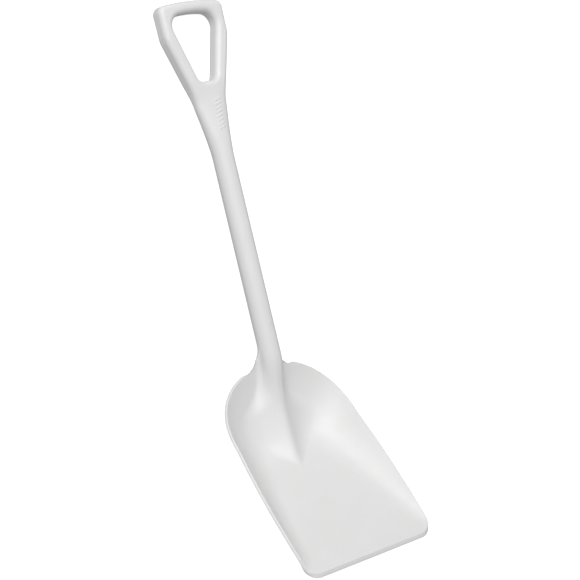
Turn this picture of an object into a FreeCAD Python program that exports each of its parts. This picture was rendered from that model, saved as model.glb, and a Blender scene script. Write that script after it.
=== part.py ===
"""Moulded polypropylene scoop shovel with a hollow straight shaft and a closed D-grip.

The shovel lies on its back: heel of the pan and back of the grip on the ground (z = 0).
+X is sideways, +Y runs from the blade towards the grip, +Z is up.
Origin: bottom centre of the whole shovel's box.  All sizes are millimetres and degrees.

Two helper frames are used while modelling, both with the same X:
  blade frame   y from the leading edge towards the handle, z square to the flat floor
  handle frame  u along the shaft from the neck towards the grip, v square to it (front is +v)
"""
import os
from math import asin, ceil, cos, degrees, pi, radians, sin, sqrt, tan

import FreeCAD, Part
from FreeCAD import Vector

# ---------------------------------------------------------------- driving dimensions
# pan: the inner face of its rim
BLADE_LENGTH = 357.5          # end of the flat floor to the back rim, along the floor
BLADE_HALF_WIDTH = 135.6      # at the widest place
WIDEST_AT = 99.0              # distance of the widest place from the end of the floor
SIDE_BOW_FRONT = 11000.0      # radii of the gently bowed side rims, in plan
SIDE_BOW_BACK = 1470.0
SHOULDER_FROM = 239.5         # where the side rims start to turn in
SHOULDER_POWER = 2.43         # roundness of the shoulders, 2 would be an ellipse
CORNER_RADIUS = 25.0          # front corners, in plan
WALL = 5.0                    # pan thickness
RIM_FRONT = 2.8               # side rim height, linear part, at the end of the floor
RIM_SLOPE = 0.215             # and its rise per mm towards the neck
RIM_SWEEP = 21.5              # extra height of the back rim
RIM_SWEEP_POWER = 10
CORNER_RISE = 28.0            # the side walls grow from nothing over this length
FILLET_BASE = 16.0            # width of the curved wall: base plus a share of its height
FILLET_SHARE = 1.18
LIP_WALL = 7.2                # the pan is thicker along its leading edge
LIP_GROW = 30.0               # and gains that thickness over this length
LIP_BEVEL = 5.2               # length of the bevel on the leading edge
LIP_EDGE = 0.8                # thickness left at its tip

# ridge that carries the shaft down into the pan
RIDGE_TIP = 203.0             # its tip on the floor
RIDGE_RISE = 0.0825           # crest height = rise * run ** power
RIDGE_POWER = 1.47
RIDGE_FLANK = 1.25            # slope of its sides
RIDGE_FLANK_NECK = 1.2        # and how much steeper they are at the neck
RIDGE_STEEP_FROM = 300.0      # where the sides start to steepen
RIDGE_CREST = 10.0            # roundness of the crest
RIDGE_CLEARANCE = 1.0         # the crest ends this far behind the front of the shaft
RIDGE_TURN = 18.0             # softness of the crest's bend up to the shaft
RIDGE_BLEND = 26.0            # softness of the valley between ridge and pan
RIDGE_LEAD = 20.0             # the softness starts this far before the tip
RIDGE_GROW = 110.0            # and is full after this length
RIDGE_SPREAD = 0.55           # extra softness per mm away from the middle line
BLEND_NECK = 9.0              # softness left at the neck
BLEND_FADE = 45.0             # and the length over which it gets that small
RIDGE_SHELL_HALF = 40.0       # near the ridge the wall is measured straight down
RIDGE_SHELL_FROM = 300.0
SHELL_BLEND = 25.0
STEEPEST_WALL = 2.0           # most the vertical thickness may grow on a slope, in walls

# neck: round core that runs from the socket down behind the ridge
NECK_SECTIONS = (             # place along the shaft, drop of the centre, radius
    (0.0, 0.0, 18.8),
    (-30.0, 3.0, 17.5),
    (-60.0, 10.0, 15.0),
    (-90.0, 15.0, 10.0),
)
WEB_FROM = 45.0               # half width where the back rim turns up to the neck
WEB_SWEEP = 0.62              # share of the way over which it keeps its direction
TONGUE_HALF = 16.0            # half width of the pan where it runs out in the neck
TONGUE_END = 386.0

# handle
SHAFT_ANGLE = 42.7            # between the floor of the pan and the shaft
NECK_Y = 361.2                # neck point on the shaft axis, in the blade frame
NECK_Z = 122.5
SHAFT_RADIUS = 18.8
TUBE_WALL = 4.5
NECK_JOINT = 52.0             # joint planes along the shaft, from the neck
GRIP_JOINT = 338.0
SPIGOT_DEPTH = 32.0           # how far each joining sleeve goes into either side
SPIGOT_WALL = 3.5
SPIGOT_CLEARANCE = 0.05
SPIGOT_END_GAP = 2.0          # room past the end of each sleeve

# grip
GRIP_TOP = 621.0              # top of the crossbar from the neck
GRIP_BAR = 22.2               # height of the crossbar
GRIP_DEPTH = 31.0             # front to back
GRIP_HALF_WIDTH = 66.5
GRIP_ARCH = 7.5               # rise of the crossbar in its middle
GRIP_TOP_RADIUS = 420.0       # of the crossbar's arched top
ARCH_PEAK = 0.6               # the arch's two straight ends would meet this far above it
HOLE_BOTTOM = 479.0
HOLE_HALF_TOP = 50.6
HOLE_HALF_BOTTOM = 16.5
HOLE_TOP_RADIUS = 140.0
THROAT_HALF = 38.9            # half width where the legs part
THROAT_AT = 474.0
GRIP_EDGE = 10.0              # rounding of the grip's edges
GRIP_SET_BACK = 2.8           # its middle plane lies this far behind the shaft axis
THROAT_FROM = 346.0           # the shaft starts to widen here
THROAT_POWER = 1.36
THROAT_SQUARE = 0.6           # how much squarer than an oval the throat gets
LEG_TOP = 556.5               # the legs' outer sides run straight up to here
LEG_FOOT = 24.0               # the legs start this far below the place where they part
LEG_FOOT_CORNER = 2.0         # rounding of the legs' feet, which lie inside the throat
LEG_INSET = 1.0               # the legs start and bend this far inside the full width
LEG_FOOT_RADIUS = 90.0        # soft bends of the legs' outer sides
LEG_TOP_RADIUS = 60.0
CORNER_OUT = 12.0             # rounding of the outer top corners
CORNER_IN = 23.5              # rounding of the hole's top corners
CROTCH_RADIUS = 8.0           # rounding of the hole's bottom
GRIP_BORE = 60.0              # depth of the bore that takes the shaft's sleeve

# raised marks on the throat, a plain rib pattern
RIB_RAISE = 0.6
RIB_COUNT = 8
RIB_PITCH = 7.0
RIB_WIDTH = 3.2
RIB_LENGTH = 14.0
RIB_TILT = 20.0
RIB_FIRST = 394.0
RIB_SIDE = 1.0
RIB_DRIFT = 0.1               # the ribs move sideways with the widening throat

# modelling steps
BEVEL_OVERRUN = 3.0           # the bevel's cutter runs up past the floor this far
CORNER_START = radians(5.0)   # the rim's points start this far into the corner's arc
CORNER_STEP = radians(7.0)    # spacing of the rim's points round corners and shoulders
SHOULDER_STEP = radians(4.0)
SLOPE_STEP = 0.5              # step for measuring the pan's slope
ROW_STEP = 6.0                # spacing of the points that carry the pan's faces
COLUMN_COUNT = 44
RIM_DENSITY = 1.5             # above 1 the points crowd towards the rim
SECTION_POINTS = 24
THROAT_STEP = 20.0
THROAT_SHORT = 4.0            # the throat's loft ends this far below the place of parting
LIE_LIMIT = radians(20.0)     # search for the angle at which the shovel lies
LIE_HALVINGS = 40
LIE_ACCURACY = 0.2
EPS = 1e-6


# ---------------------------------------------------------------- shape of the pan
def smooth_step(value):
    t = min(max(value, 0.0), 1.0)
    return t * t * (3.0 - 2.0 * t)


def smooth_max(a, b, softness):
    """The larger of two heights; the corner where they cross is filled softly."""
    share = max(softness - abs(a - b), 0.0) / max(softness, EPS)
    return max(a, b) + 0.25 * softness * share ** 2


def side_half_width(y):
    """Half width of the pan at a given distance along the floor, without its shoulders."""
    run = y - WIDEST_AT
    bow = SIDE_BOW_FRONT if run < 0.0 else SIDE_BOW_BACK
    return BLADE_HALF_WIDTH - bow + sqrt(bow ** 2 - run ** 2)


def rim_height(y):
    sweep = RIM_SWEEP * (max(y, 0.0) / BLADE_LENGTH) ** RIM_SWEEP_POWER
    return (RIM_FRONT + RIM_SLOPE * y + sweep) * smooth_step(y / CORNER_RISE)


def shoulder_ratio(x, y):
    """0 on the middle line of the pan, 1 on its rim."""
    across = abs(x) / side_half_width(min(y, SHOULDER_FROM))
    along = max(y - SHOULDER_FROM, 0.0) / (BLADE_LENGTH - SHOULDER_FROM)
    return (across ** SHOULDER_POWER + along ** SHOULDER_POWER) ** (1.0 / SHOULDER_POWER)


def wall_height(x, y):
    """Height of the curved side and back walls over the floor."""
    ratio = shoulder_ratio(x, y)
    rim_y = y
    if y > SHOULDER_FROM:
        rim_y = SHOULDER_FROM + (y - SHOULDER_FROM) / max(ratio, EPS)
    height = rim_height(rim_y)
    width = FILLET_BASE + FILLET_SHARE * height
    inside = (1.0 - ratio) * side_half_width(min(y, SHOULDER_FROM))
    return height * max(0.0, 1.0 - inside / width) ** 2


def ridge_height(x, y):
    """Height of the ridge: a sweeping crest that meets the front of the shaft at the neck."""
    run = y - RIDGE_TIP
    if run <= 0.0:
        return RIDGE_FLANK * (run - abs(x))
    sweep = RIDGE_RISE * run ** RIDGE_POWER
    lean = radians(SHAFT_ANGLE)
    shaft_front = NECK_Z + (y - NECK_Y) * tan(lean) + SHAFT_RADIUS / cos(lean)
    crest = -smooth_max(-sweep, RIDGE_CLEARANCE - shaft_front, RIDGE_TURN)
    neckward = smooth_step((y - RIDGE_STEEP_FROM) / (NECK_Y - RIDGE_STEEP_FROM))
    flank = RIDGE_FLANK + RIDGE_FLANK_NECK * neckward
    fall = sqrt(x * x + RIDGE_CREST ** 2) - RIDGE_CREST
    return crest - flank * fall


def inner_height(x, y):
    """The pan's inner surface over the plane of its floor."""
    growth = smooth_step((y - RIDGE_TIP + RIDGE_LEAD) / RIDGE_GROW)
    softness = (RIDGE_BLEND + RIDGE_SPREAD * abs(x)) * growth
    neckward = smooth_step((y - RIDGE_STEEP_FROM) / BLEND_FADE)
    softness += (BLEND_NECK - softness) * neckward
    return smooth_max(wall_height(x, y), ridge_height(x, y), softness)


def wall_thickness(y):
    return WALL + (LIP_WALL - WALL) * smooth_step(1.0 - y / LIP_GROW)


def inner_point(x, y):
    return Vector(x, y, inner_height(x, y))


def outer_point(x, y):
    """The underside: a wall away, square to the inner face, or straight down by the ridge."""
    step = SLOPE_STEP
    slope_x = (inner_height(x + step, y) - inner_height(x - step, y)) / (2.0 * step)
    slope_y = (inner_height(x, y + step) - inner_height(x, y - step)) / (2.0 * step)
    square = Vector(-slope_x, -slope_y, 1.0)
    steepness = square.Length
    square.normalize()
    down = Vector(0.0, 0.0, min(steepness, STEEPEST_WALL))
    beside = smooth_step((abs(x) - RIDGE_SHELL_HALF) / SHELL_BLEND)
    before = smooth_step((RIDGE_SHELL_FROM - y) / SHELL_BLEND)
    share = max(beside, before)
    return inner_point(x, y) - (square * share + down * (1.0 - share)) * wall_thickness(y)


def spread(first, last, step):
    count = int(ceil((last - first) / step))
    return [first + (last - first) * k / count for k in range(count + 1)]


def rim_line():
    """Inner rim in plan: places (half width, y) from the lip over the shoulder to the neck."""
    rim = []
    corner_y = CORNER_RADIUS - LIP_BEVEL
    corner_x = side_half_width(corner_y) - CORNER_RADIUS
    for angle in spread(CORNER_START, 0.5 * pi, CORNER_STEP)[:-1]:
        x = corner_x + CORNER_RADIUS * sin(angle)
        rim.append(Vector(x, corner_y - CORNER_RADIUS * cos(angle), 0.0))
    for y in spread(corner_y, SHOULDER_FROM, ROW_STEP)[:-1]:
        rim.append(Vector(side_half_width(y), y, 0.0))
    shoulder_x = side_half_width(SHOULDER_FROM)
    shoulder_y = BLADE_LENGTH - SHOULDER_FROM
    last = asin(sqrt(1.0 - (WEB_FROM / shoulder_x) ** SHOULDER_POWER))
    for angle in spread(0.0, last, SHOULDER_STEP):
        x = shoulder_x * cos(angle) ** (2.0 / SHOULDER_POWER)
        y = SHOULDER_FROM + shoulder_y * sin(angle) ** (2.0 / SHOULDER_POWER)
        rim.append(Vector(x, y, 0.0))
    flow = (rim[-1] - rim[-2]).normalize()
    reach = (rim[-1].x - TONGUE_HALF) * WEB_SWEEP
    tongue = Vector(TONGUE_HALF, TONGUE_END, 0.0)
    web = Part.BezierCurve()
    web.setPoles([rim[-1], rim[-1] + flow * reach, tongue - Vector(0.0, reach, 0.0), tongue])
    rim += web.discretize(int(web.length() / ROW_STEP) + 2)[1:]
    return rim


def pan_slab():
    """The pan before its lip is bevelled: two faces a wall apart and the rim between them."""
    shares = []
    for k in range(COLUMN_COUNT + 1):
        side = 2.0 * k / COLUMN_COUNT - 1.0
        share = 1.0 - (1.0 - abs(side)) ** RIM_DENSITY
        shares.append(share if side > 0.0 else -share)
    rows = rim_line()
    surfaces = []
    for point in (inner_point, outer_point):
        surface = Part.BSplineSurface()
        surface.interpolate([[point(rim.x * share, rim.y) for share in shares] for rim in rows])
        surfaces.append(surface)
    faces = [surface.toShape() for surface in surfaces]
    u0, u1, v0, v1 = surfaces[0].bounds()
    for place in (u0, u1):
        ends = [surface.uIso(place).toShape() for surface in surfaces]
        faces.append(Part.makeRuledSurface(ends[0], ends[1]))
    for place in (v0, v1):
        sides = [surface.vIso(place).toShape() for surface in surfaces]
        faces.append(Part.makeRuledSurface(sides[0], sides[1]))
    shell = Part.Shell(faces)
    shell.sewShape()
    return Part.makeSolid(shell)


def lip_cutter():
    """Wedge that bevels the leading edge from above."""
    run = LIP_BEVEL + WALL
    drop = (LIP_WALL - LIP_EDGE) / LIP_BEVEL
    reach = BLADE_HALF_WIDTH + 2.0 * WALL
    profile = [
        Vector(-reach, BEVEL_OVERRUN, BEVEL_OVERRUN * drop),
        Vector(-reach, -run, -run * drop),
        Vector(-reach, -run, run),
        Vector(-reach, BEVEL_OVERRUN, run),
    ]
    wedge = Part.Face(Part.makePolygon(profile + profile[:1]))
    return wedge.extrude(Vector(2.0 * reach, 0.0, 0.0))


def blade_to_handle(shape):
    """Turn a shape made in the blade frame into the handle frame."""
    shape = shape.copy()
    shape.translate(Vector(0.0, -NECK_Y, -NECK_Z))
    shape.rotate(Vector(0.0, 0.0, 0.0), Vector(1.0, 0.0, 0.0), -SHAFT_ANGLE)
    return shape


def neck_core():
    wires = []
    for place, drop, radius in NECK_SECTIONS:
        circle = Part.Circle(Vector(0.0, place, -drop), Vector(0.0, 1.0, 0.0), radius)
        wires.append(Part.Wire(circle.toShape()))
    taper = Part.makeLoft(wires, True, False)
    straight = Part.makeCylinder(SHAFT_RADIUS, NECK_JOINT, Vector(0.0, 0.0, 0.0), Vector(0.0, 1.0, 0.0))
    return straight.fuse(taper)


def make_blade():
    pan = pan_slab().cut(lip_cutter())
    blade = blade_to_handle(pan).fuse(neck_core())
    return blade.cut(bore(NECK_JOINT, NECK_JOINT - SPIGOT_DEPTH - SPIGOT_END_GAP))


# ---------------------------------------------------------------- handle
def bore(start, end):
    """Round space along the shaft axis between two places."""
    low = min(start, end)
    radius = SHAFT_RADIUS - TUBE_WALL
    return Part.makeCylinder(radius, abs(end - start), Vector(0.0, low, 0.0), Vector(0.0, 1.0, 0.0))


def make_shaft():
    length = GRIP_JOINT - NECK_JOINT
    start = Vector(0.0, NECK_JOINT, 0.0)
    tube = Part.makeCylinder(SHAFT_RADIUS, length, start, Vector(0.0, 1.0, 0.0))
    return tube.cut(bore(NECK_JOINT, GRIP_JOINT))


def make_spigot(joint):
    outer = SHAFT_RADIUS - TUBE_WALL - SPIGOT_CLEARANCE
    start = Vector(0.0, joint - SPIGOT_DEPTH, 0.0)
    along = Vector(0.0, 1.0, 0.0)
    sleeve = Part.makeCylinder(outer, 2.0 * SPIGOT_DEPTH, start, along)
    return sleeve.cut(Part.makeCylinder(outer - SPIGOT_WALL, 2.0 * SPIGOT_DEPTH, start, along))


# ---------------------------------------------------------------- grip
def throat_half_width(s):
    """Half width of the throat at a place along the shaft."""
    rise = (THROAT_HALF - SHAFT_RADIUS) / (THROAT_AT - THROAT_FROM) ** THROAT_POWER
    return SHAFT_RADIUS + rise * max(s - THROAT_FROM, 0.0) ** THROAT_POWER


def throat_section(s, raise_by=0.0):
    """Oval section of the throat, from a circle at the shaft to a flatter oval at the legs."""
    share = smooth_step((s - THROAT_FROM) / (THROAT_AT - THROAT_FROM))
    half_x = throat_half_width(s) + raise_by
    half_z = SHAFT_RADIUS + (0.5 * GRIP_DEPTH - SHAFT_RADIUS) * share + raise_by
    power = 2.0 + THROAT_SQUARE * share
    points = []
    for k in range(SECTION_POINTS):
        angle = 2.0 * pi * k / SECTION_POINTS
        c, d = cos(angle), sin(angle)
        x = half_x * abs(c) ** (2.0 / power) * (1 if c >= 0.0 else -1)
        z = half_z * abs(d) ** (2.0 / power) * (1 if d >= 0.0 else -1)
        points.append(Vector(x, s, z - GRIP_SET_BACK * share))
    curve = Part.BSplineCurve()
    curve.interpolate(points, PeriodicFlag=True)
    return Part.Wire(curve.toShape())


def throat(raise_by=0.0):
    places = [GRIP_JOINT] + spread(THROAT_FROM, THROAT_AT - THROAT_SHORT, THROAT_STEP)
    return Part.makeLoft([throat_section(s, raise_by) for s in places], True, False)


def rounded_outline(corners, radii):
    """Closed wire through the corners, each rounded by an arc that touches both sides."""
    count = len(corners)
    arcs = []
    for k in range(count):
        here = corners[k]
        back = (corners[k - 1] - here).normalize()
        ahead = (corners[(k + 1) % count] - here).normalize()
        half = 0.5 * back.getAngle(ahead)
        reach = radii[k] / tan(half)
        middle = (back + ahead).normalize()
        centre = here + middle * (radii[k] / sin(half))
        arcs.append((here + back * reach, centre - middle * radii[k], here + ahead * reach))
    edges = []
    for k in range(count):
        start, mid, end = arcs[k]
        edges.append(Part.Arc(start, mid, end).toShape())
        edges.append(Part.makeLine(end, arcs[(k + 1) % count][0]))
    return Part.Wire(edges)


def grip_ring():
    """Triangular loop: two legs and a gently arched crossbar round the finger hole."""
    foot_y = THROAT_AT - LEG_FOOT
    outer = [
        Vector(throat_half_width(foot_y) - LEG_INSET, foot_y, 0.0),
        Vector(throat_half_width(THROAT_AT), THROAT_AT, 0.0),
        Vector(GRIP_HALF_WIDTH - LEG_INSET, LEG_TOP, 0.0),
        Vector(GRIP_HALF_WIDTH, GRIP_TOP - GRIP_ARCH, 0.0),
        Vector(0.0, GRIP_TOP + ARCH_PEAK, 0.0),
    ]
    radii = [LEG_FOOT_CORNER, LEG_FOOT_RADIUS, LEG_TOP_RADIUS, CORNER_OUT, GRIP_TOP_RADIUS]
    outer += [Vector(-p.x, p.y, 0.0) for p in reversed(outer[:-1])]
    radii += list(reversed(radii[:-1]))
    hole_top = GRIP_TOP - GRIP_BAR
    hole = [
        Vector(HOLE_HALF_BOTTOM, HOLE_BOTTOM, 0.0),
        Vector(HOLE_HALF_TOP, hole_top - GRIP_ARCH, 0.0),
        Vector(0.0, hole_top + ARCH_PEAK, 0.0),
        Vector(-HOLE_HALF_TOP, hole_top - GRIP_ARCH, 0.0),
        Vector(-HOLE_HALF_BOTTOM, HOLE_BOTTOM, 0.0),
    ]
    hole_radii = [CROTCH_RADIUS, CORNER_IN, HOLE_TOP_RADIUS, CORNER_IN, CROTCH_RADIUS]
    tall = Vector(0.0, 0.0, GRIP_DEPTH)
    plate = Part.Face(rounded_outline(outer, radii)).extrude(tall)
    opening = Part.Face(rounded_outline(hole, hole_radii)).extrude(tall)
    ring = plate.cut(opening)
    rounded = []
    for edge in ring.Edges:
        ends = [vertex.Point for vertex in edge.Vertexes]
        level = abs(ends[0].z - ends[-1].z) < EPS
        if level and max(point.y for point in ends) > foot_y + LEG_FOOT_CORNER + LEG_INSET:
            rounded.append(edge)
    ring = ring.makeFillet(GRIP_EDGE, rounded)
    ring.translate(Vector(0.0, 0.0, -GRIP_SET_BACK - 0.5 * GRIP_DEPTH))
    return ring


def throat_ribs():
    """Low slanted ribs on the front of the throat."""
    cutters = []
    for k in range(RIB_COUNT):
        rib = Part.makeBox(RIB_LENGTH, RIB_WIDTH, SHAFT_RADIUS + WALL)
        rib.rotate(Vector(0.0, 0.0, 0.0), Vector(0.0, 0.0, 1.0), RIB_TILT)
        place = RIB_FIRST + RIB_PITCH * k
        side = RIB_SIDE - 0.5 * RIB_LENGTH + RIB_DRIFT * (place - RIB_FIRST)
        rib.translate(Vector(side, place, 0.0))
        cutters.append(rib)
    return throat(RIB_RAISE).common(Part.Compound(cutters))


def make_grip():
    body = throat().fuse(grip_ring()).fuse(throat_ribs().Solids)
    return body.cut(bore(GRIP_JOINT, GRIP_JOINT + GRIP_BORE)).removeSplitter()


# ---------------------------------------------------------------- pose and files
def lowest(points, angle):
    c, d = cos(angle), sin(angle)
    return min(p.y * d + p.z * c for p in points)


def lie_down(shapes):
    """Tip the shovel until heel and grip both touch the ground, then centre it."""
    front = shapes["scoop_blade"].tessellate(LIE_ACCURACY)[0]
    rear = shapes["d_grip"].tessellate(LIE_ACCURACY)[0]
    low, high = -LIE_LIMIT, LIE_LIMIT
    for _ in range(LIE_HALVINGS):
        angle = 0.5 * (low + high)
        if lowest(rear, angle) > lowest(front, angle):
            high = angle
        else:
            low = angle
    ground = lowest(front, angle)
    ys = [p.y * cos(angle) - p.z * sin(angle) for p in front + rear]
    for shape in shapes.values():
        shape.rotate(Vector(0.0, 0.0, 0.0), Vector(1.0, 0.0, 0.0), degrees(angle))
        shape.translate(Vector(0.0, -0.5 * (min(ys) + max(ys)), -ground))
    print("lies at", round(degrees(angle), 3), "length", round(max(ys) - min(ys), 2))


def single_solid(shape):
    """The one solid of a shape, refused if there are more."""
    solids = shape.Solids
    if len(solids) != 1 or not solids[0].isValid():
        raise ValueError("expected one valid solid, got %d" % len(solids))
    return solids[0]


def main():
    shapes = {
        "scoop_blade": make_blade(),
        "shaft": make_shaft(),
        "d_grip": make_grip(),
        "neck_spigot": make_spigot(NECK_JOINT),
        "throat_spigot": make_spigot(GRIP_JOINT),
    }
    shapes = {name: single_solid(shape) for name, shape in shapes.items()}
    lie_down(shapes)
    os.makedirs("parts", exist_ok=True)
    for name, shape in shapes.items():
        shape.exportStep("parts/%s.step" % name)
        print(name, round(shape.Volume), shape.BoundBox)


main()
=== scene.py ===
import bmesh
import bpy
import numpy as np
from math import cos, pi, radians, sin, tan
from mathutils import Matrix, Vector


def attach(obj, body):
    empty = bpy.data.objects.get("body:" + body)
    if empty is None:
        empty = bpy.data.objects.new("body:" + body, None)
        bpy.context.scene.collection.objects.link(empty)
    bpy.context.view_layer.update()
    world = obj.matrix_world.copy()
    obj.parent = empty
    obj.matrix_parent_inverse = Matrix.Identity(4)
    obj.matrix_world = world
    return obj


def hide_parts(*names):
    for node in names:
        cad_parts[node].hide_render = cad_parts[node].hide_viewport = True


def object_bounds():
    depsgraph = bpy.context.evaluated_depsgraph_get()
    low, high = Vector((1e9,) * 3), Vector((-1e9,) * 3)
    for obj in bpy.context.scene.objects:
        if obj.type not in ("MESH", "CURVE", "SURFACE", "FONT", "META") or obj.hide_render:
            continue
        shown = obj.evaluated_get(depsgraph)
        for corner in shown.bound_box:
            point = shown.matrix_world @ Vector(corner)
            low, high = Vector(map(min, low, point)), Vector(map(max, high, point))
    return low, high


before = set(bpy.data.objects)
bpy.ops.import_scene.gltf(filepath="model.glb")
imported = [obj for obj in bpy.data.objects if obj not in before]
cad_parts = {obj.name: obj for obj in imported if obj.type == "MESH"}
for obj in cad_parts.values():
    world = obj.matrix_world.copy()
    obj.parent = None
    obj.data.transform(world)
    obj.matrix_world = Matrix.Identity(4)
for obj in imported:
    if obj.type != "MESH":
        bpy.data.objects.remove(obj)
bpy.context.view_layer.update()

MM = 0.001

# ------------------------------------------------------------ driving dimensions, millimetres
BLADE_LENGTH = 357.5
BLADE_HALF_WIDTH = 135.6
WIDEST_AT = 99.0
SIDE_BOW_FRONT = 11000.0
SIDE_BOW_BACK = 1470.0
SHOULDER_FROM = 239.5
SHOULDER_POWER = 2.43
CORNER_RADIUS = 25.0
WALL = 5.0
RIM_FRONT = 2.8
RIM_SLOPE = 0.215
RIM_SWEEP = 21.5
RIM_SWEEP_POWER = 10
CORNER_RISE = 28.0
FILLET_BASE = 16.0
FILLET_SHARE = 1.18
LIP_WALL = 7.2
LIP_GROW = 30.0
LIP_BEVEL = 5.2
LIP_EDGE = 0.8
BEVEL_FADE = 22.0             # the bevel runs round the corners and dies out over this length
BEVEL_LIFT = 14.0

RIDGE_TIP = 203.0
RIDGE_RISE = 0.0825
RIDGE_POWER = 1.47
RIDGE_FLANK = 1.25
RIDGE_FLANK_NECK = 1.2
RIDGE_STEEP_FROM = 300.0
RIDGE_CREST = 10.0
RIDGE_CLEARANCE = 1.0
RIDGE_TURN = 18.0
RIDGE_BLEND = 26.0
RIDGE_LEAD = 20.0
RIDGE_GROW = 110.0
RIDGE_SPREAD = 0.4
BLEND_NECK = 12.0
BLEND_FADE = 45.0

CORE_LENGTH = 90.0            # the neck's core runs this far down behind the ridge
CORE_DROP = 15.0
CORE_TAPER = 8.8
WEB_FROM = 45.0
WEB_SWEEP = 0.62
TONGUE_HALF = 16.0
TONGUE_END = 386.0

SHAFT_ANGLE = radians(42.7)
NECK_Y = 361.2
NECK_Z = 122.5
SHAFT_RADIUS = 18.8
BORE_RADIUS = 14.3
NECK_JOINT = 52.0
GRIP_JOINT = 338.0
NECK_BORE = 34.0
GRIP_BORE = 60.0
NECK_PLUG = (5.0, 70.0)       # the stretches of the shaft axis that are filled, joints and
GRIP_PLUG = (320.0, 410.0)    # bores included, while the skins are made

GRIP_TOP = 618.5              # top of the arched crossbar on the middle line
GRIP_DEPTH = 31.0
GRIP_HALF_WIDTH = 66.5
GRIP_TOP_RADIUS = 442.0
LEG_SLOPE = 0.322             # sideways run of the legs' outer sides per mm along the shaft
SIDE_SLOPE = 0.018
HOLE_TOP = 597.6
HOLE_BOTTOM = 479.0
HOLE_HALF_BOTTOM = 16.5
HOLE_SLOPE = 0.304
HOLE_TOP_RADIUS = 203.0
THROAT_HALF = 38.9
THROAT_AT = 474.0
THROAT_FROM = 346.0
THROAT_POWER = 1.36
THROAT_SQUARE = 0.6
GRIP_EDGE = 9.8
GRIP_SET_BACK = 2.8
CORNER_OUT = 12.0
CORNER_IN = 23.5
CROTCH_RADIUS = 8.0
LEG_BEND = 2.3
LEGS_FROM = 430.0             # the oval throat turns into the flat legs between these places
LEGS_FULL = 485.0

RIB_RAISE = 0.6
RIB_COUNT = 8
RIB_PITCH = 7.0
RIB_WIDTH = 3.2
RIB_LENGTH = 14.0
RIB_TILT = radians(20.0)
RIB_FIRST = 394.0
RIB_SIDE = 1.0
RIB_DRIFT = 0.1
RIB_SOFT = 1.2                # run of a rib's sloping sides

RIM_ROUND = 1.1               # rounding of the moulded edges
LIP_ROUND = 0.5

# ------------------------------------------------------------ blends of the neck, millimetres
NECK_BLEND = 11.0             # softness of the joins between ridge and neck,
NECK_FRONT_CUT = 0.9          # less of it where the neck's front runs out into the ridge
NECK_FRONT_FROM = 2.0
NECK_FRONT_RUN = 12.0
NECK_CREST_FROM = 340.0
NECK_CREST_RUN = 40.0
NECK_SIDE_CUT = 0.45          # and at the neck's sides
NECK_SIDE_FROM = 7.0
NECK_SIDE_RUN = 8.0
NECK_FILLET = 14.0            # softness of the corners between neck and back rim
NECK_FILLET_RUN = 12.0

# camera, in the handle frame
CAMERA_PLACE = Vector((-1652.3, 180.0, 2318.1))
CAMERA_AIM = Vector((71.2, 98.1, 2.2))
CAMERA_ROLL = radians(78.85)
CAMERA_LENS = 103.2
CAMERA_SENSOR = 36.0
CAMERA_REACH = 60.0           # metres

# ------------------------------------------------------------ studio, metres and watts
WORLD_STRENGTH = 0.36
SUN_DISTANCE = 3.0
PANEL_PLACE = Vector((-0.6, 1.0, 1.2))
PANEL_AIM = Vector((0.0, 0.38, 0.02))
PANEL_SIZE = 0.7
PANEL_POWER = 4.0
FLOOR_HALF = 14.0
FLOOR_GREY = 0.6
FLOOR_GLOW = 0.85
BACKDROP_RADIUS = 13.0

WHITE = (0.80, 0.80, 0.80)
NATURAL = (0.74, 0.74, 0.72)

# ------------------------------------------------------------ fineness of the meshes
BLADE_VOXEL = 1.5
GRIP_VOXEL = 0.95
TUBE_SIDES = 96
TUBE_ROWS = 60
BORE_SIDES = 72
SHARP_EDGE = radians(50.0)
HEIGHT_STEP = 0.4             # over which the inner face's slope is taken
STEEPEST = 2.0                # limit on the slope that stretches the distance from the rim
FIELD_STEP = 0.05             # over which a distance field's slope is taken
LEAST_SLOPE = 0.05
LONGEST_MOVE = 1.5            # of a vertex in one go
JOINT_SNAP = 0.02             # vertices this near a joint's plane are taken to lie on it
EPS = 1e-6


# ------------------------------------------------------------ helpers on arrays
def smooth_step(value):
    t = np.clip(value, 0.0, 1.0)
    return t * t * (3.0 - 2.0 * t)


def smooth_max(a, b, softness):
    """The larger of two heights, with the change from one to the other rounded off."""
    share = np.maximum(softness - np.abs(a - b), 0.0) / np.maximum(softness, EPS)
    return np.maximum(a, b) + 0.25 * softness * share ** 2


def round_max(a, b, radius):
    """Intersection of two distance fields whose common edge is rounded."""
    outside = np.hypot(np.maximum(a + radius, 0.0), np.maximum(b + radius, 0.0))
    return np.minimum(np.maximum(a, b) + radius, 0.0) + outside - radius


def round_union(a, b, softness):
    """Union of two distance fields whose common corner is filled softly."""
    return -smooth_max(-a, -b, softness)


# ------------------------------------------------------------ the pan, blade frame
def side_half_width(y):
    """Half width at the inner rim, from the lip to where the round shoulders start."""
    run = y - WIDEST_AT
    bow = np.where(run < 0.0, SIDE_BOW_FRONT, SIDE_BOW_BACK)
    return BLADE_HALF_WIDTH - bow + np.sqrt(bow ** 2 - run ** 2)


def rim_height(y):
    """Height of the inner rim over the floor, which dies out at the lip's corners."""
    sweep = RIM_SWEEP * (np.maximum(y, 0.0) / BLADE_LENGTH) ** RIM_SWEEP_POWER
    return (RIM_FRONT + RIM_SLOPE * y + sweep) * smooth_step(y / CORNER_RISE)


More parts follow.
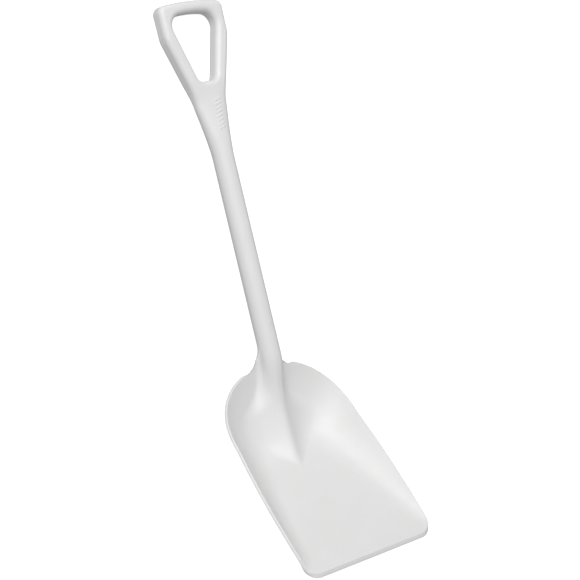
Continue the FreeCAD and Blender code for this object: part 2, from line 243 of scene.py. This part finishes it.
def wall_height(x, y):
    """Height of the floor and of the side and back walls that curve up from it."""
    widest = side_half_width(np.minimum(y, SHOULDER_FROM))
    along = np.maximum(y - SHOULDER_FROM, 0.0) / (BLADE_LENGTH - SHOULDER_FROM)
    ratio = ((np.abs(x) / widest) ** SHOULDER_POWER + along ** SHOULDER_POWER)
    ratio = ratio ** (1.0 / SHOULDER_POWER)
    past = SHOULDER_FROM + (y - SHOULDER_FROM) / np.maximum(ratio, EPS)
    height = rim_height(np.where(y > SHOULDER_FROM, past, y))
    width = FILLET_BASE + FILLET_SHARE * height
    inside = (1.0 - ratio) * widest
    return height * np.maximum(0.0, 1.0 - inside / width) ** 2


def ridge_height(x, y):
    """Height of the ridge that widens from its tip and turns into the neck."""
    run = y - RIDGE_TIP
    sweep = RIDGE_RISE * np.maximum(run, 0.0) ** RIDGE_POWER
    shaft_front = NECK_Z + (y - NECK_Y) * tan(SHAFT_ANGLE) + SHAFT_RADIUS / cos(SHAFT_ANGLE)
    crest = -smooth_max(-sweep, RIDGE_CLEARANCE - shaft_front, RIDGE_TURN)
    neckward = smooth_step((y - RIDGE_STEEP_FROM) / (NECK_Y - RIDGE_STEEP_FROM))
    flank = RIDGE_FLANK + RIDGE_FLANK_NECK * neckward
    fall = np.sqrt(x * x + RIDGE_CREST ** 2) - RIDGE_CREST
    return np.where(run <= 0.0, RIDGE_FLANK * (run - np.abs(x)), crest - flank * fall)


def inner_height(x, y):
    """Height of the pan's whole inner face over the plane of its floor."""
    growth = smooth_step((y - RIDGE_TIP + RIDGE_LEAD) / RIDGE_GROW)
    softness = (RIDGE_BLEND + RIDGE_SPREAD * np.abs(x)) * growth
    neckward = smooth_step((y - RIDGE_STEEP_FROM) / BLEND_FADE)
    softness = softness + (BLEND_NECK - softness) * neckward
    return smooth_max(wall_height(x, y), ridge_height(x, y), softness)


def rim_line():
    """Inner rim in plan, as half widths over the length of the pan."""
    y = np.linspace(-LIP_BEVEL, SHOULDER_FROM, 200)[:-1]
    side = np.stack([side_half_width(y), y], 1)
    wide = side_half_width(SHOULDER_FROM)
    deep = BLADE_LENGTH - SHOULDER_FROM
    last = np.arcsin(np.sqrt(1.0 - (WEB_FROM / wide) ** SHOULDER_POWER))
    angle = np.linspace(0.0, last, 160)
    across = wide * np.cos(angle) ** (2.0 / SHOULDER_POWER)
    along = SHOULDER_FROM + deep * np.sin(angle) ** (2.0 / SHOULDER_POWER)
    shoulder = np.stack([across, along], 1)
    start, end = shoulder[-1], np.array([TONGUE_HALF, TONGUE_END])
    flow = (shoulder[-1] - shoulder[-2]) / np.linalg.norm(shoulder[-1] - shoulder[-2])
    reach = (start[0] - TONGUE_HALF) * WEB_SWEEP
    t = np.linspace(0.0, 1.0, 80)[1:, None]
    first, second = start + flow * reach, end - np.array([0.0, reach])
    web = ((1 - t) ** 3 * start + 3 * (1 - t) ** 2 * t * first
           + 3 * (1 - t) * t ** 2 * second + t ** 3 * end)
    return np.vstack([side, shoulder, web])


RIM = rim_line()
RIM_FLOW = np.gradient(RIM[:, 0], RIM[:, 1])


def outline_distance(x, y):
    """Signed distance in plan from the inner rim, negative inside."""
    across = np.abs(x)
    half = np.interp(y, RIM[:, 1], RIM[:, 0])
    slope = np.interp(y, RIM[:, 1], RIM_FLOW)
    side = (across - half) / np.sqrt(1.0 + slope ** 2)
    corner_y = CORNER_RADIUS - LIP_BEVEL
    corner_x = side_half_width(corner_y) - CORNER_RADIUS
    over, before = across - corner_x, corner_y - y
    arc = np.hypot(np.maximum(over, 0.0), np.maximum(before, 0.0)) - CORNER_RADIUS
    in_corner = (over > 0.0) & (before > 0.0)
    ends = np.maximum(-LIP_BEVEL - y, y - TONGUE_END)
    return np.where(in_corner, arc, np.maximum(side, ends))


def pan_distance(x, y, z):
    """Slab under the inner face, cut off square to it at the rim and bevelled at the lip."""
    step = HEIGHT_STEP
    height = inner_height(x, y)
    slope_x = (inner_height(x + step, y) - inner_height(x - step, y)) / (2.0 * step)
    slope_y = (inner_height(x, y + step) - inner_height(x, y - step)) / (2.0 * step)
    steep = np.sqrt(1.0 + slope_x ** 2 + slope_y ** 2)
    above = (z - height) / steep
    wall = WALL + (LIP_WALL - WALL) * smooth_step(1.0 - y / LIP_GROW)
    slab = np.abs(above + 0.5 * wall) - 0.5 * wall
    foot_x = x + above * slope_x / steep
    foot_y = y + above * slope_y / steep
    beyond = outline_distance(foot_x, foot_y) * np.minimum(steep, STEEPEST)
    body = round_max(slab, beyond, RIM_ROUND)
    inset = -outline_distance(x, y)
    drop = LIP_WALL - LIP_EDGE
    bevel = z - drop * (inset / LIP_BEVEL - 1.0) - BEVEL_LIFT * smooth_step(y / BEVEL_FADE)
    bevel = np.where(y < BEVEL_FADE, bevel / np.hypot(1.0, drop / LIP_BEVEL), -WALL)
    return round_max(body, bevel, LIP_ROUND)


# ------------------------------------------------------------ neck and shaft, handle frame
def core_distance(x, u, v):
    """Round bar that carries the neck on down behind the ridge, thinner and lower."""
    t = np.clip(-u / CORE_LENGTH, 0.0, 1.0)
    radius = SHAFT_RADIUS - CORE_TAPER * t * t
    return np.maximum(np.hypot(x, v + CORE_DROP * smooth_step(t)) - radius, -CORE_LENGTH - u)


def blade_distance(p):
    x, u, v = p[:, 0], p[:, 1], p[:, 2]
    y = NECK_Y + u * cos(SHAFT_ANGLE) - v * sin(SHAFT_ANGLE)
    z = NECK_Z + u * sin(SHAFT_ANGLE) + v * cos(SHAFT_ANGLE)
    in_front = smooth_step((v - NECK_FRONT_FROM) / NECK_FRONT_RUN)
    in_front = in_front * smooth_step((y - NECK_CREST_FROM) / NECK_CREST_RUN)
    beside = smooth_step((np.abs(x) - NECK_SIDE_FROM) / NECK_SIDE_RUN)
    softness = NECK_BLEND * (1.0 - NECK_FRONT_CUT * in_front) * (1.0 - NECK_SIDE_CUT * beside)
    outside = smooth_step((np.abs(x) - SHAFT_RADIUS) / NECK_FILLET_RUN)
    softness = softness + (NECK_FILLET - softness) * outside
    return round_union(pan_distance(x, y, z), core_distance(x, u, v), softness)


# ------------------------------------------------------------ throat and grip, handle frame
def throat_distance(x, u, v):
    """Bar that widens from the round shaft to a flat oval, with the ribs on its front."""
    rise = (THROAT_HALF - SHAFT_RADIUS) / (THROAT_AT - THROAT_FROM) ** THROAT_POWER
    half_x = SHAFT_RADIUS + rise * np.maximum(u - THROAT_FROM, 0.0) ** THROAT_POWER
    share = smooth_step((u - THROAT_FROM) / (THROAT_AT - THROAT_FROM))
    half_v = SHAFT_RADIUS + (0.5 * GRIP_DEPTH - SHAFT_RADIUS) * share
    power = 2.0 + THROAT_SQUARE * share
    off = v + GRIP_SET_BACK * share
    ratio = (np.abs(x / half_x) ** power + np.abs(off / half_v) ** power) ** (1.0 / power)
    body = (ratio - 1.0) * half_v
    for k in range(RIB_COUNT):
        place = RIB_FIRST + RIB_PITCH * k
        side = RIB_SIDE + RIB_DRIFT * (place - RIB_FIRST)
        dx, du = x - side, u - place - 0.5 * RIB_WIDTH
        along = dx * cos(RIB_TILT) + du * sin(RIB_TILT)
        across = du * cos(RIB_TILT) - dx * sin(RIB_TILT)
        edge = np.maximum(np.abs(along) - 0.5 * RIB_LENGTH, np.abs(across) - 0.5 * RIB_WIDTH)
        body = body - RIB_RAISE * smooth_step(0.5 - edge / RIB_SOFT) * (v > 0.0)
    return body


def slanted(x, u, half, at, slope):
    """Distance from a side face whose half width grows along the shaft."""
    return (np.abs(x) - half - slope * (u - at)) / np.sqrt(1.0 + slope ** 2)


def grip_distance(p):
    """Throat below, flat plate with the finger opening above, one turned into the other."""
    x, u, v = p[:, 0], p[:, 1], p[:, 2]
    off = v + GRIP_SET_BACK
    leg = slanted(x, u, THROAT_HALF, THROAT_AT, LEG_SLOPE)
    cheek = slanted(x, u, GRIP_HALF_WIDTH, GRIP_TOP, SIDE_SLOPE)
    crown = np.hypot(x, u - GRIP_TOP + GRIP_TOP_RADIUS) - GRIP_TOP_RADIUS
    outer = round_max(round_max(leg, cheek, LEG_BEND), crown, CORNER_OUT)
    hole_leg = slanted(x, u, HOLE_HALF_BOTTOM, HOLE_BOTTOM, HOLE_SLOPE)
    hole_top = np.hypot(x, u - HOLE_TOP + HOLE_TOP_RADIUS) - HOLE_TOP_RADIUS
    hole = round_max(round_max(hole_leg, hole_top, CORNER_IN), HOLE_BOTTOM - u, CROTCH_RADIUS)
    plate = round_max(outer, np.abs(off) - 0.5 * GRIP_DEPTH, GRIP_EDGE)
    share = smooth_step((u - LEGS_FROM) / (LEGS_FULL - LEGS_FROM))
    body = throat_distance(x, u, v) * (1.0 - share) + plate * share
    return round_max(body, -hole, GRIP_EDGE)


# ------------------------------------------------------------ meshes and objects
def vertex_places(mesh):
    places = np.empty(len(mesh.vertices) * 3)
    mesh.vertices.foreach_get("co", places)
    return places.reshape(-1, 3)


def new_mesh(bm, name):
    mesh = bpy.data.meshes.new(name)
    bm.to_mesh(mesh)
    bm.free()
    return mesh


def new_object(name, data):
    thing = bpy.data.objects.new(name, data)
    bpy.context.scene.collection.objects.link(thing)
    return thing


# ------------------------------------------------------------ where the handle frame lies
def handle_matrix():
    """Millimetres in the handle frame to metres in the world, from the CAD shaft's two ends."""
    places = vertex_places(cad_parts["shaft"].data)
    middle = 0.5 * (places[:, 1].min() + places[:, 1].max())
    ends = []
    for half in (places[places[:, 1] < middle], places[places[:, 1] > middle]):
        ends.append(Vector(0.5 * (half.min(0) + half.max(0))))
    along = (ends[1] - ends[0]).normalized()
    front = Vector((1.0, 0.0, 0.0)).cross(along)
    origin = ends[0] - along * NECK_JOINT * MM
    turn = Matrix(((1.0, 0.0, 0.0), along, front)).transposed().to_4x4()
    return Matrix.Translation(origin) @ turn @ Matrix.Scale(MM, 4)


HANDLE = handle_matrix()
TO_HANDLE = HANDLE.inverted()


def moved(points, matrix):
    turn = np.array(matrix.to_3x3())
    return points @ turn.T + np.array(matrix.translation)


# ------------------------------------------------------------ skins
def plug_mesh(start, end):
    """Solid round bar along the shaft axis that closes a bore while the skin is made."""
    bm = bmesh.new()
    bmesh.ops.create_cone(bm, cap_ends=True, segments=TUBE_SIDES, radius1=SHAFT_RADIUS,
                          radius2=SHAFT_RADIUS, depth=end - start)
    turn = Matrix.Translation((0.0, 0.5 * (start + end), 0.0)) @ Matrix.Rotation(pi / 2, 4, "X")
    bmesh.ops.transform(bm, matrix=HANDLE @ turn, verts=bm.verts)
    return bm


def voxel_skin(node, start, end, voxel):
    """Even quad skin round a CAD node and a plug in its bore."""
    bm = plug_mesh(start, end)
    bm.from_mesh(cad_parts[node].data)
    mesh = new_mesh(bm, node + "_rough")
    rough = new_object(node + "_rough", mesh)
    remesh = rough.modifiers.new("skin", "REMESH")
    remesh.mode = "VOXEL"
    remesh.voxel_size = voxel * MM
    graph = bpy.context.evaluated_depsgraph_get()
    skin = bpy.data.meshes.new_from_object(rough.evaluated_get(graph))
    bpy.data.objects.remove(rough)
    bpy.data.meshes.remove(mesh)
    return skin


def gradient(field, p):
    slope = np.empty_like(p)
    for axis in range(3):
        shift = np.zeros(3)
        shift[axis] = FIELD_STEP
        slope[:, axis] = (field(p + shift) - field(p - shift)) / (2.0 * FIELD_STEP)
    return slope


def drawn_onto(field, p, rounds):
    """Points moved along the field's slope to where the field is zero."""
    for _ in range(rounds):
        slope = gradient(field, p)
        size = np.maximum((slope ** 2).sum(1), LEAST_SLOPE)
        move = -slope * (field(p) / size)[:, None]
        length = np.linalg.norm(move, axis=1)
        p = p + move * np.minimum(1.0, LONGEST_MOVE / np.maximum(length, EPS))[:, None]
    return p


def relaxed(p, edges, degree):
    """Points moved halfway to the middle of their neighbours, which evens out the skin."""
    total = np.zeros_like(p)
    np.add.at(total, edges[:, 0], p[edges[:, 1]])
    np.add.at(total, edges[:, 1], p[edges[:, 0]])
    return 0.5 * p + 0.5 * total / degree[:, None]


def fit_skin(mesh, field, node):
    """Draw the skin onto the field, kept inside the CAD node's own box."""
    cad_places = vertex_places(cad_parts[node].data)
    p = moved(vertex_places(mesh), TO_HANDLE)
    edges = np.empty(len(mesh.edges) * 2, dtype=np.int32)
    mesh.edges.foreach_get("vertices", edges)
    edges = edges.reshape(-1, 2)
    degree = np.bincount(edges.ravel(), minlength=len(p)).astype(float)
    p = drawn_onto(field, p, 4)
    for _ in range(3):
        p = drawn_onto(field, relaxed(relaxed(p, edges, degree), edges, degree), 2)
    p = drawn_onto(field, p, 2)
    places = np.clip(moved(p, HANDLE), cad_places.min(0), cad_places.max(0))
    mesh.vertices.foreach_set("co", places.ravel())
    mesh.update()


def ring(bm, radius, place, segments):
    verts = []
    for k in range(segments):
        angle = 2.0 * pi * k / segments
        at = Vector((radius * cos(angle), place, radius * sin(angle)))
        verts.append(bm.verts.new(HANDLE @ at))
    edges = [bm.edges.new((verts[k - 1], verts[k])) for k in range(segments)]
    return verts, edges


def quads_between(bm, first, second):
    for k in range(len(first)):
        bm.faces.new((first[k - 1], first[k], second[k], second[k - 1]))


def shade(bm):
    """Faces turned outwards and shaded smooth, except across sharp edges."""
    bmesh.ops.recalc_face_normals(bm, faces=bm.faces)
    for edge in bm.edges:
        edge.smooth = len(edge.link_faces) != 2 or edge.calc_face_angle() < SHARP_EDGE
    for face in bm.faces:
        face.smooth = True


def cut_and_bore(mesh, joint, side, depth):
    """Cut the skin off square at a joint and give it the bore that takes the sleeve."""
    bm = bmesh.new()
    bm.from_mesh(mesh)
    along = (HANDLE.to_3x3() @ Vector((0.0, side, 0.0))).normalized()
    at = HANDLE @ Vector((0.0, joint, 0.0))
    everything = bm.verts[:] + bm.edges[:] + bm.faces[:]
    cut = bmesh.ops.bisect_plane(bm, geom=everything, plane_co=at, plane_no=along,
                                 clear_outer=True, dist=JOINT_SNAP * MM)
    rim = [item for item in cut["geom_cut"] if isinstance(item, bmesh.types.BMEdge)]
    mouth, mouth_edges = ring(bm, BORE_RADIUS, joint, BORE_SIDES)
    bottom, bottom_edges = ring(bm, BORE_RADIUS, joint - side * depth, BORE_SIDES)
    bmesh.ops.triangle_fill(bm, use_beauty=True, edges=rim + mouth_edges)
    quads_between(bm, mouth, bottom)
    bmesh.ops.triangle_fill(bm, use_beauty=True, edges=bottom_edges)
    shade(bm)
    bm.to_mesh(mesh)
    bm.free()


def skin_piece(name, node, field, voxel, plug, joint, side, depth):
    """Skin of a node, whose joint is its upper end (side 1) or its lower end (side -1)."""
    mesh = voxel_skin(node, plug[0], plug[1], voxel)
    mesh.name = name
    fit_skin(mesh, field, node)
    cut_and_bore(mesh, joint, side, depth)
    return new_object(name, mesh)


def tube_wall(bm, radius):
    """Round wall between the two joints; returns its two end rings."""
    rings = []
    for k in range(TUBE_ROWS + 1):
        place = NECK_JOINT + (GRIP_JOINT - NECK_JOINT) * k / TUBE_ROWS
        rings.append(ring(bm, radius, place, TUBE_SIDES)[0])
    for first, second in zip(rings, rings[1:]):
        quads_between(bm, first, second)
    return rings[0], rings[-1]


def shaft_piece():
    bm = bmesh.new()
    outer_ends = tube_wall(bm, SHAFT_RADIUS)
    bore_ends = tube_wall(bm, BORE_RADIUS)
    for outer, bore in zip(outer_ends, bore_ends):
        quads_between(bm, outer, bore)
    shade(bm)
    return new_object("shaft_tube", new_mesh(bm, "shaft_tube"))


# ------------------------------------------------------------ materials
def plastic(name, colour, roughness, seed):
    """Moulded polypropylene: faint cloudiness, fine satin grain and a slight swell."""
    material = bpy.data.materials.new(name)
    material.use_nodes = True
    nodes, links = material.node_tree.nodes, material.node_tree.links
    shader = nodes["Principled BSDF"]
    place = nodes.new("ShaderNodeTexCoord")
    shift = nodes.new("ShaderNodeMapping")
    shift.inputs["Location"].default_value = (seed, 0.37 * seed, 0.11 * seed)
    links.new(place.outputs["Object"], shift.inputs["Vector"])

    def noise(scale, detail):
        node = nodes.new("ShaderNodeTexNoise")
        node.inputs["Scale"].default_value = scale
        node.inputs["Detail"].default_value = detail
        links.new(shift.outputs["Vector"], node.inputs["Vector"])
        return node.outputs["Fac"]

    def spread(source, low, high):
        node = nodes.new("ShaderNodeMapRange")
        node.inputs["From Min"].default_value = 0.3
        node.inputs["From Max"].default_value = 0.7
        node.inputs["To Min"].default_value = low
        node.inputs["To Max"].default_value = high
        links.new(source, node.inputs["Value"])
        return node.outputs["Result"]

    def bump(strength, depth, height):
        node = nodes.new("ShaderNodeBump")
        node.inputs["Strength"].default_value = strength
        node.inputs["Distance"].default_value = depth * MM
        links.new(height, node.inputs["Height"])
        return node

    tint = nodes.new("ShaderNodeMix")
    tint.data_type = "RGBA"
    tint.inputs["A"].default_value = (colour[0], colour[1], colour[2], 1.0)
    tint.inputs["B"].default_value = (0.97 * colour[0], 0.972 * colour[1], 0.965 * colour[2], 1.0)
    links.new(spread(noise(14.0, 3.0), 0.0, 1.0), tint.inputs["Factor"])
    links.new(tint.outputs["Result"], shader.inputs["Base Color"])
    links.new(spread(noise(60.0, 4.0), roughness - 0.05, roughness + 0.06),
              shader.inputs["Roughness"])

    grain = bump(0.25, 0.06, noise(900.0, 2.0))
    swell = bump(0.5, 0.25, noise(22.0, 2.0))
    links.new(grain.outputs["Normal"], swell.inputs["Normal"])
    links.new(swell.outputs["Normal"], shader.inputs["Normal"])
    shader.inputs["IOR"].default_value = 1.49
    shader.inputs["Subsurface Weight"].default_value = 0.12
    shader.inputs["Subsurface Radius"].default_value = (1.0, 0.95, 0.9)
    shader.inputs["Subsurface Scale"].default_value = 3.0 * MM
    return material


def studio_paper(name, grey, roughness, specular, glow):
    """Even white surface that gives off some light of its own."""
    material = bpy.data.materials.new(name)
    material.use_nodes = True
    inputs = material.node_tree.nodes["Principled BSDF"].inputs
    inputs["Base Color"].default_value = (grey, grey, grey, 1.0)
    inputs["Roughness"].default_value = roughness
    inputs["Specular IOR Level"].default_value = specular
    inputs["Emission Color"].default_value = (1.0, 1.0, 1.0, 1.0)
    inputs["Emission Strength"].default_value = glow
    return material


# ------------------------------------------------------------ pieces
blade_skin = skin_piece("scoop_skin", "scoop_blade", blade_distance, BLADE_VOXEL,
                        NECK_PLUG, NECK_JOINT, 1.0, NECK_BORE)
grip_skin = skin_piece("grip_skin", "d_grip", grip_distance, GRIP_VOXEL,
                       GRIP_PLUG, GRIP_JOINT, -1.0, GRIP_BORE)
shaft_skin = shaft_piece()

for piece, node, slot, seed in ((blade_skin, "scoop_blade", "blade_plastic", 1.3),
                                (shaft_skin, "shaft", "handle_plastic", 4.1),
                                (grip_skin, "d_grip", "grip_plastic", 7.7)):
    piece.data.materials.clear()
    piece.data.materials.append(plastic("white_" + node, WHITE, 0.4, seed))
    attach(piece, "root")
    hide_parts(node)

sleeve = plastic("natural_sleeve", NATURAL, 0.5, 9.2)
for node in ("neck_spigot", "throat_spigot"):
    for material_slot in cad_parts[node].material_slots:
        material_slot.material = sleeve

# ------------------------------------------------------------ floor, light, camera
low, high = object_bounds()
middle = 0.5 * (Vector(low) + Vector(high))

bm = bmesh.new()
bmesh.ops.create_grid(bm, x_segments=2, y_segments=2, size=FLOOR_HALF)
floor = new_object("studio_floor", new_mesh(bm, "studio_floor"))
floor.location = (middle.x, middle.y, 0.0)
floor.visible_diffuse = False
floor.visible_glossy = False
floor.data.materials.append(studio_paper("white_paper", FLOOR_GREY, 0.9, 0.1, FLOOR_GLOW))

# round backdrop that closes the view above the floor, seen by the camera only
bm = bmesh.new()
bmesh.ops.create_uvsphere(bm, u_segments=48, v_segments=24, radius=BACKDROP_RADIUS)
backdrop = new_object("studio_backdrop", new_mesh(bm, "studio_backdrop"))
backdrop.data.materials.append(studio_paper("white_backdrop", 0.0, 0.5, 0.0, 1.0))
for ray in ("diffuse", "glossy", "transmission", "shadow"):
    setattr(backdrop, "visible_" + ray, False)

world = bpy.data.worlds.new("studio")
bpy.context.scene.world = world
world.use_nodes = True
background = world.node_tree.nodes["Background"]
background.inputs["Color"].default_value = (1.0, 1.0, 1.0, 1.0)
background.inputs["Strength"].default_value = WORLD_STRENGTH


def far_light(name, towards, strength, width):
    """Large soft light, far away in the given direction."""
    light = bpy.data.lights.new(name, "SUN")
    light.energy = strength
    light.angle = radians(width)
    lamp = new_object(name, light)
    lamp.location = middle + Vector(towards) * SUN_DISTANCE
    lamp.rotation_euler = Vector(towards).to_track_quat("Z", "Y").to_euler()


far_light("key", (-0.5, 0.44, 0.75), 1.6, 44.0)
far_light("fill", (0.8, 0.4, 0.45), 0.35, 70.0)

# a soft panel beside the grip
panel = bpy.data.lights.new("grip_panel", "AREA")
panel.shape = "DISK"
panel.size = PANEL_SIZE
panel.energy = PANEL_POWER
panel_lamp = new_object("grip_panel", panel)
panel_lamp.location = PANEL_PLACE
panel_lamp.rotation_euler = (PANEL_AIM - PANEL_PLACE).to_track_quat("-Z", "Y").to_euler()

camera_data = bpy.data.cameras.new("camera")
camera_data.lens = CAMERA_LENS
camera_data.sensor_width = CAMERA_SENSOR
camera_data.clip_end = CAMERA_REACH
camera = new_object("camera", camera_data)
turn = (CAMERA_AIM - CAMERA_PLACE).to_track_quat("-Z", "Y").to_matrix().to_4x4()
turn = turn @ Matrix.Rotation(CAMERA_ROLL, 4, "Z")
camera.matrix_world = (HANDLE @ Matrix.Translation(CAMERA_PLACE) @ turn
                       @ Matrix.Scale(1.0 / MM, 4))
bpy.context.scene.camera = camera

view = bpy.context.scene.view_settings
view.view_transform = "Standard"
view.look = "None"
view.exposure = 0.0
